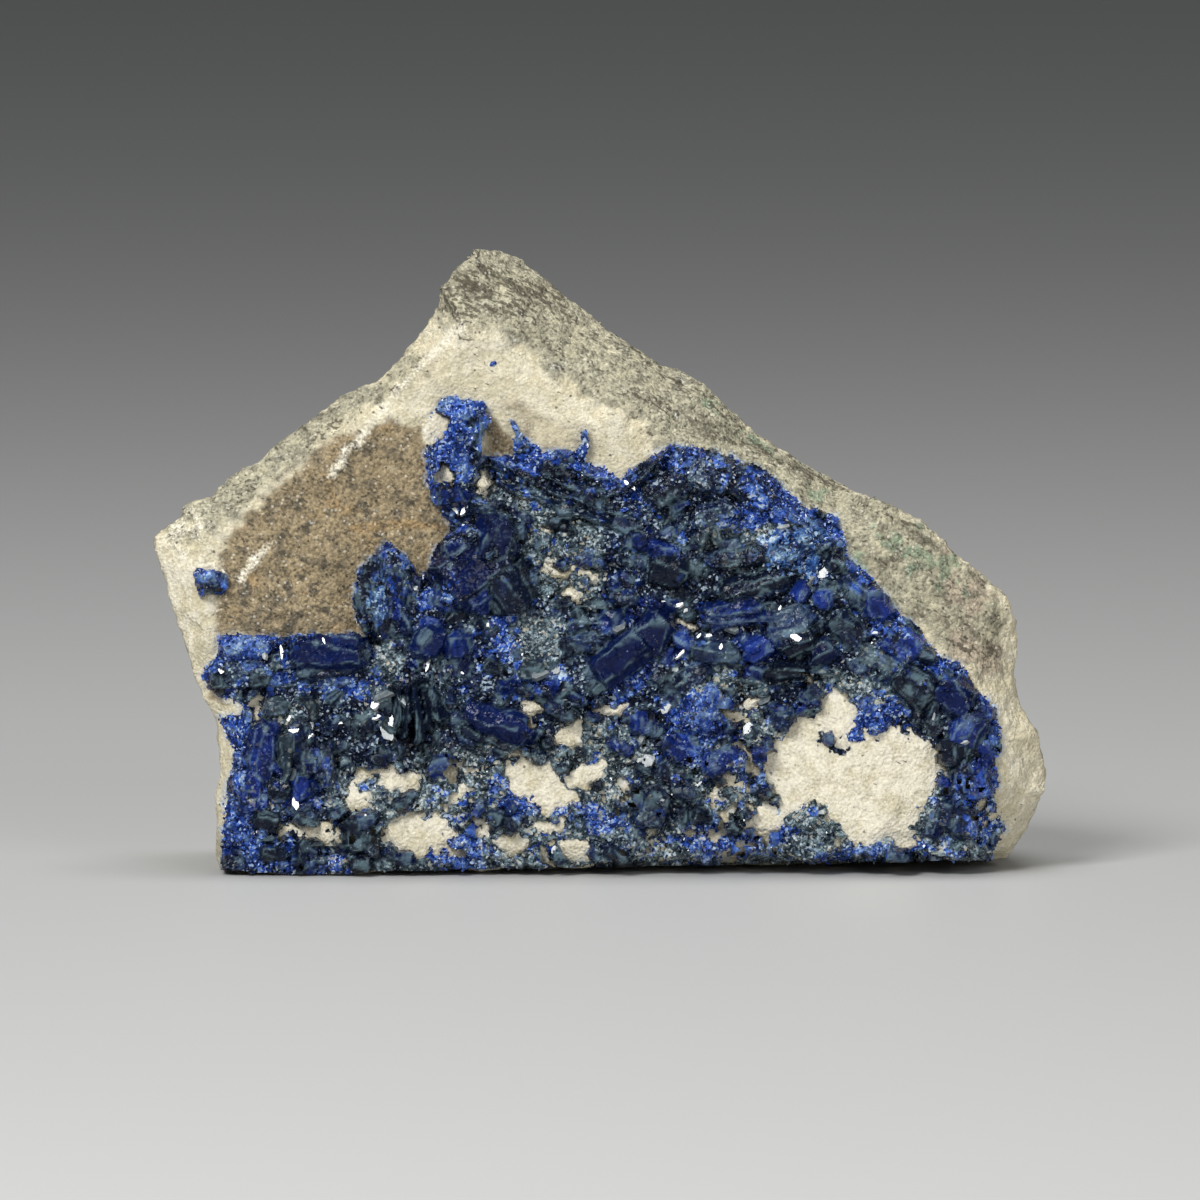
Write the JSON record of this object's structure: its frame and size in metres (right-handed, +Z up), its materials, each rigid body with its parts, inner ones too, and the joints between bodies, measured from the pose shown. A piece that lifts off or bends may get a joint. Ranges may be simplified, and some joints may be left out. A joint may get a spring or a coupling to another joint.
{
  "type": "azurite specimen",
  "caption": "Broken slab of cream sandstone that stands on a flat underside, its front overgrown with deep blue azurite blades, plates and sparkling crust.",
  "frame": {"origin": "on the flat underside, below the middle of the bounding box", "axes": "+X to the viewer's right along the long side, -Y towards the viewer out of the azurite face, +Z up"},
  "size_m": [0.09, 0.033, 0.0625],
  "materials": {
    "sandstone": "rough, fine-grained, iron-stained in places",
    "azurite": "glassy crystal faces"
  },
  "bodies": {
    "root": {"sandstone_matrix": "sandstone", "azurite_crust": "azurite", "azurite_side_patch": "azurite", "azurite_speck": "azurite"}
  },
  "joints": []
}
